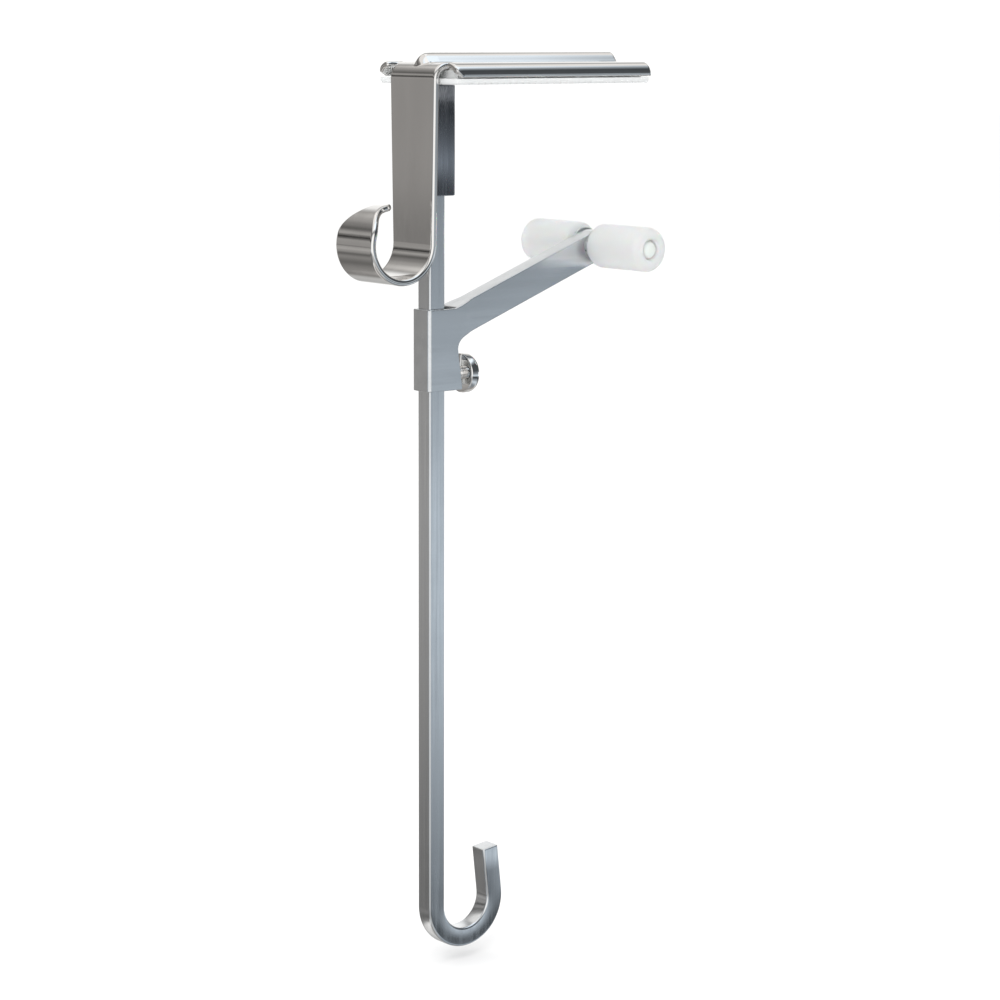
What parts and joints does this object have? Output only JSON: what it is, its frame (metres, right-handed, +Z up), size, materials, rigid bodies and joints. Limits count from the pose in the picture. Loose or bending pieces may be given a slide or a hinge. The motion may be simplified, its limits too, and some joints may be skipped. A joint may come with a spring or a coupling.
{
  "type": "headphone hook",
  "caption": "Desk-edge headphone hook: padded steel plate with a curled hook, square hanger bar with a lower bag hook, and a sliding clamp arm with soft rollers.",
  "frame": {"origin": "middle of the underside of the desk pad, on the desk top", "axes": "+Z up, +Y into the desk away from the user, +X to the right as the user faces the desk edge"},
  "size_m": [0.056, 0.0991, 0.2768],
  "materials": {
    "polished_chrome": "mirror-bright plated sheet with soft bends",
    "satin_steel": "fine lengthwise satin grain, soft bright corners",
    "zinc_steel": "plain bright zinc",
    "weld_metal": "plated-over weld, dull",
    "clear_silicone": "frosted translucent silicone",
    "tape_film": "thin clear transfer tape",
    "nylon": "natural nylon, satin"
  },
  "bodies": {
    "hanger": {"top_bracket": "polished_chrome", "desk_pad": "clear_silicone", "pad_adhesive": "tape_film", "bar_socket": "satin_steel", "socket_weld_right": "weld_metal", "socket_weld_left": "weld_metal", "bar_end_weld": "weld_metal", "hanger_bar": "satin_steel"},
    "slider": {"slider_arm": "satin_steel", "threaded_block": "zinc_steel", "cross_pin": "zinc_steel", "pin_washer_right": "zinc_steel", "pin_washer_left": "zinc_steel", "pin_clip_right": "zinc_steel", "pin_clip_left": "zinc_steel"},
    "tip": {"pressure_tip": "nylon"},
    "screw": {"clamp_screw": "polished_chrome"},
    "roller_right": {"roller_right": "clear_silicone", "roller_bush_right": "nylon"},
    "roller_left": {"roller_left": "clear_silicone", "roller_bush_left": "nylon"}
  },
  "joints": [
    {"name": "slider_travel", "type": "slide", "parent": "hanger", "child": "slider", "axis": [0, 0, 1], "range_m": [-0.15, 0.033]},
    {"name": "tip_feed", "type": "slide", "parent": "slider", "child": "tip", "axis": [0, 1, 0], "range_m": [0, 0.0021]},
    {"name": "screw_turn", "type": "hinge", "parent": "tip", "child": "screw", "pos_m": [0, -0.03232, -0.08698], "axis": [0, 1, 0], "range_deg": [0, 1080]},
    {"name": "roller_right_spin", "type": "hinge", "parent": "slider", "child": "roller_right", "pos_m": [0.016, 0.03097, -0.0504], "axis": [1, 0, 0], "continuous": true},
    {"name": "roller_left_spin", "type": "hinge", "parent": "slider", "child": "roller_left", "pos_m": [-0.016, 0.03097, -0.0504], "axis": [1, 0, 0], "continuous": true}
  ],
  "couplings": [
    {"joint": "screw_turn", "follows": "tip_feed", "rad_per_m": 8976}
  ]
}
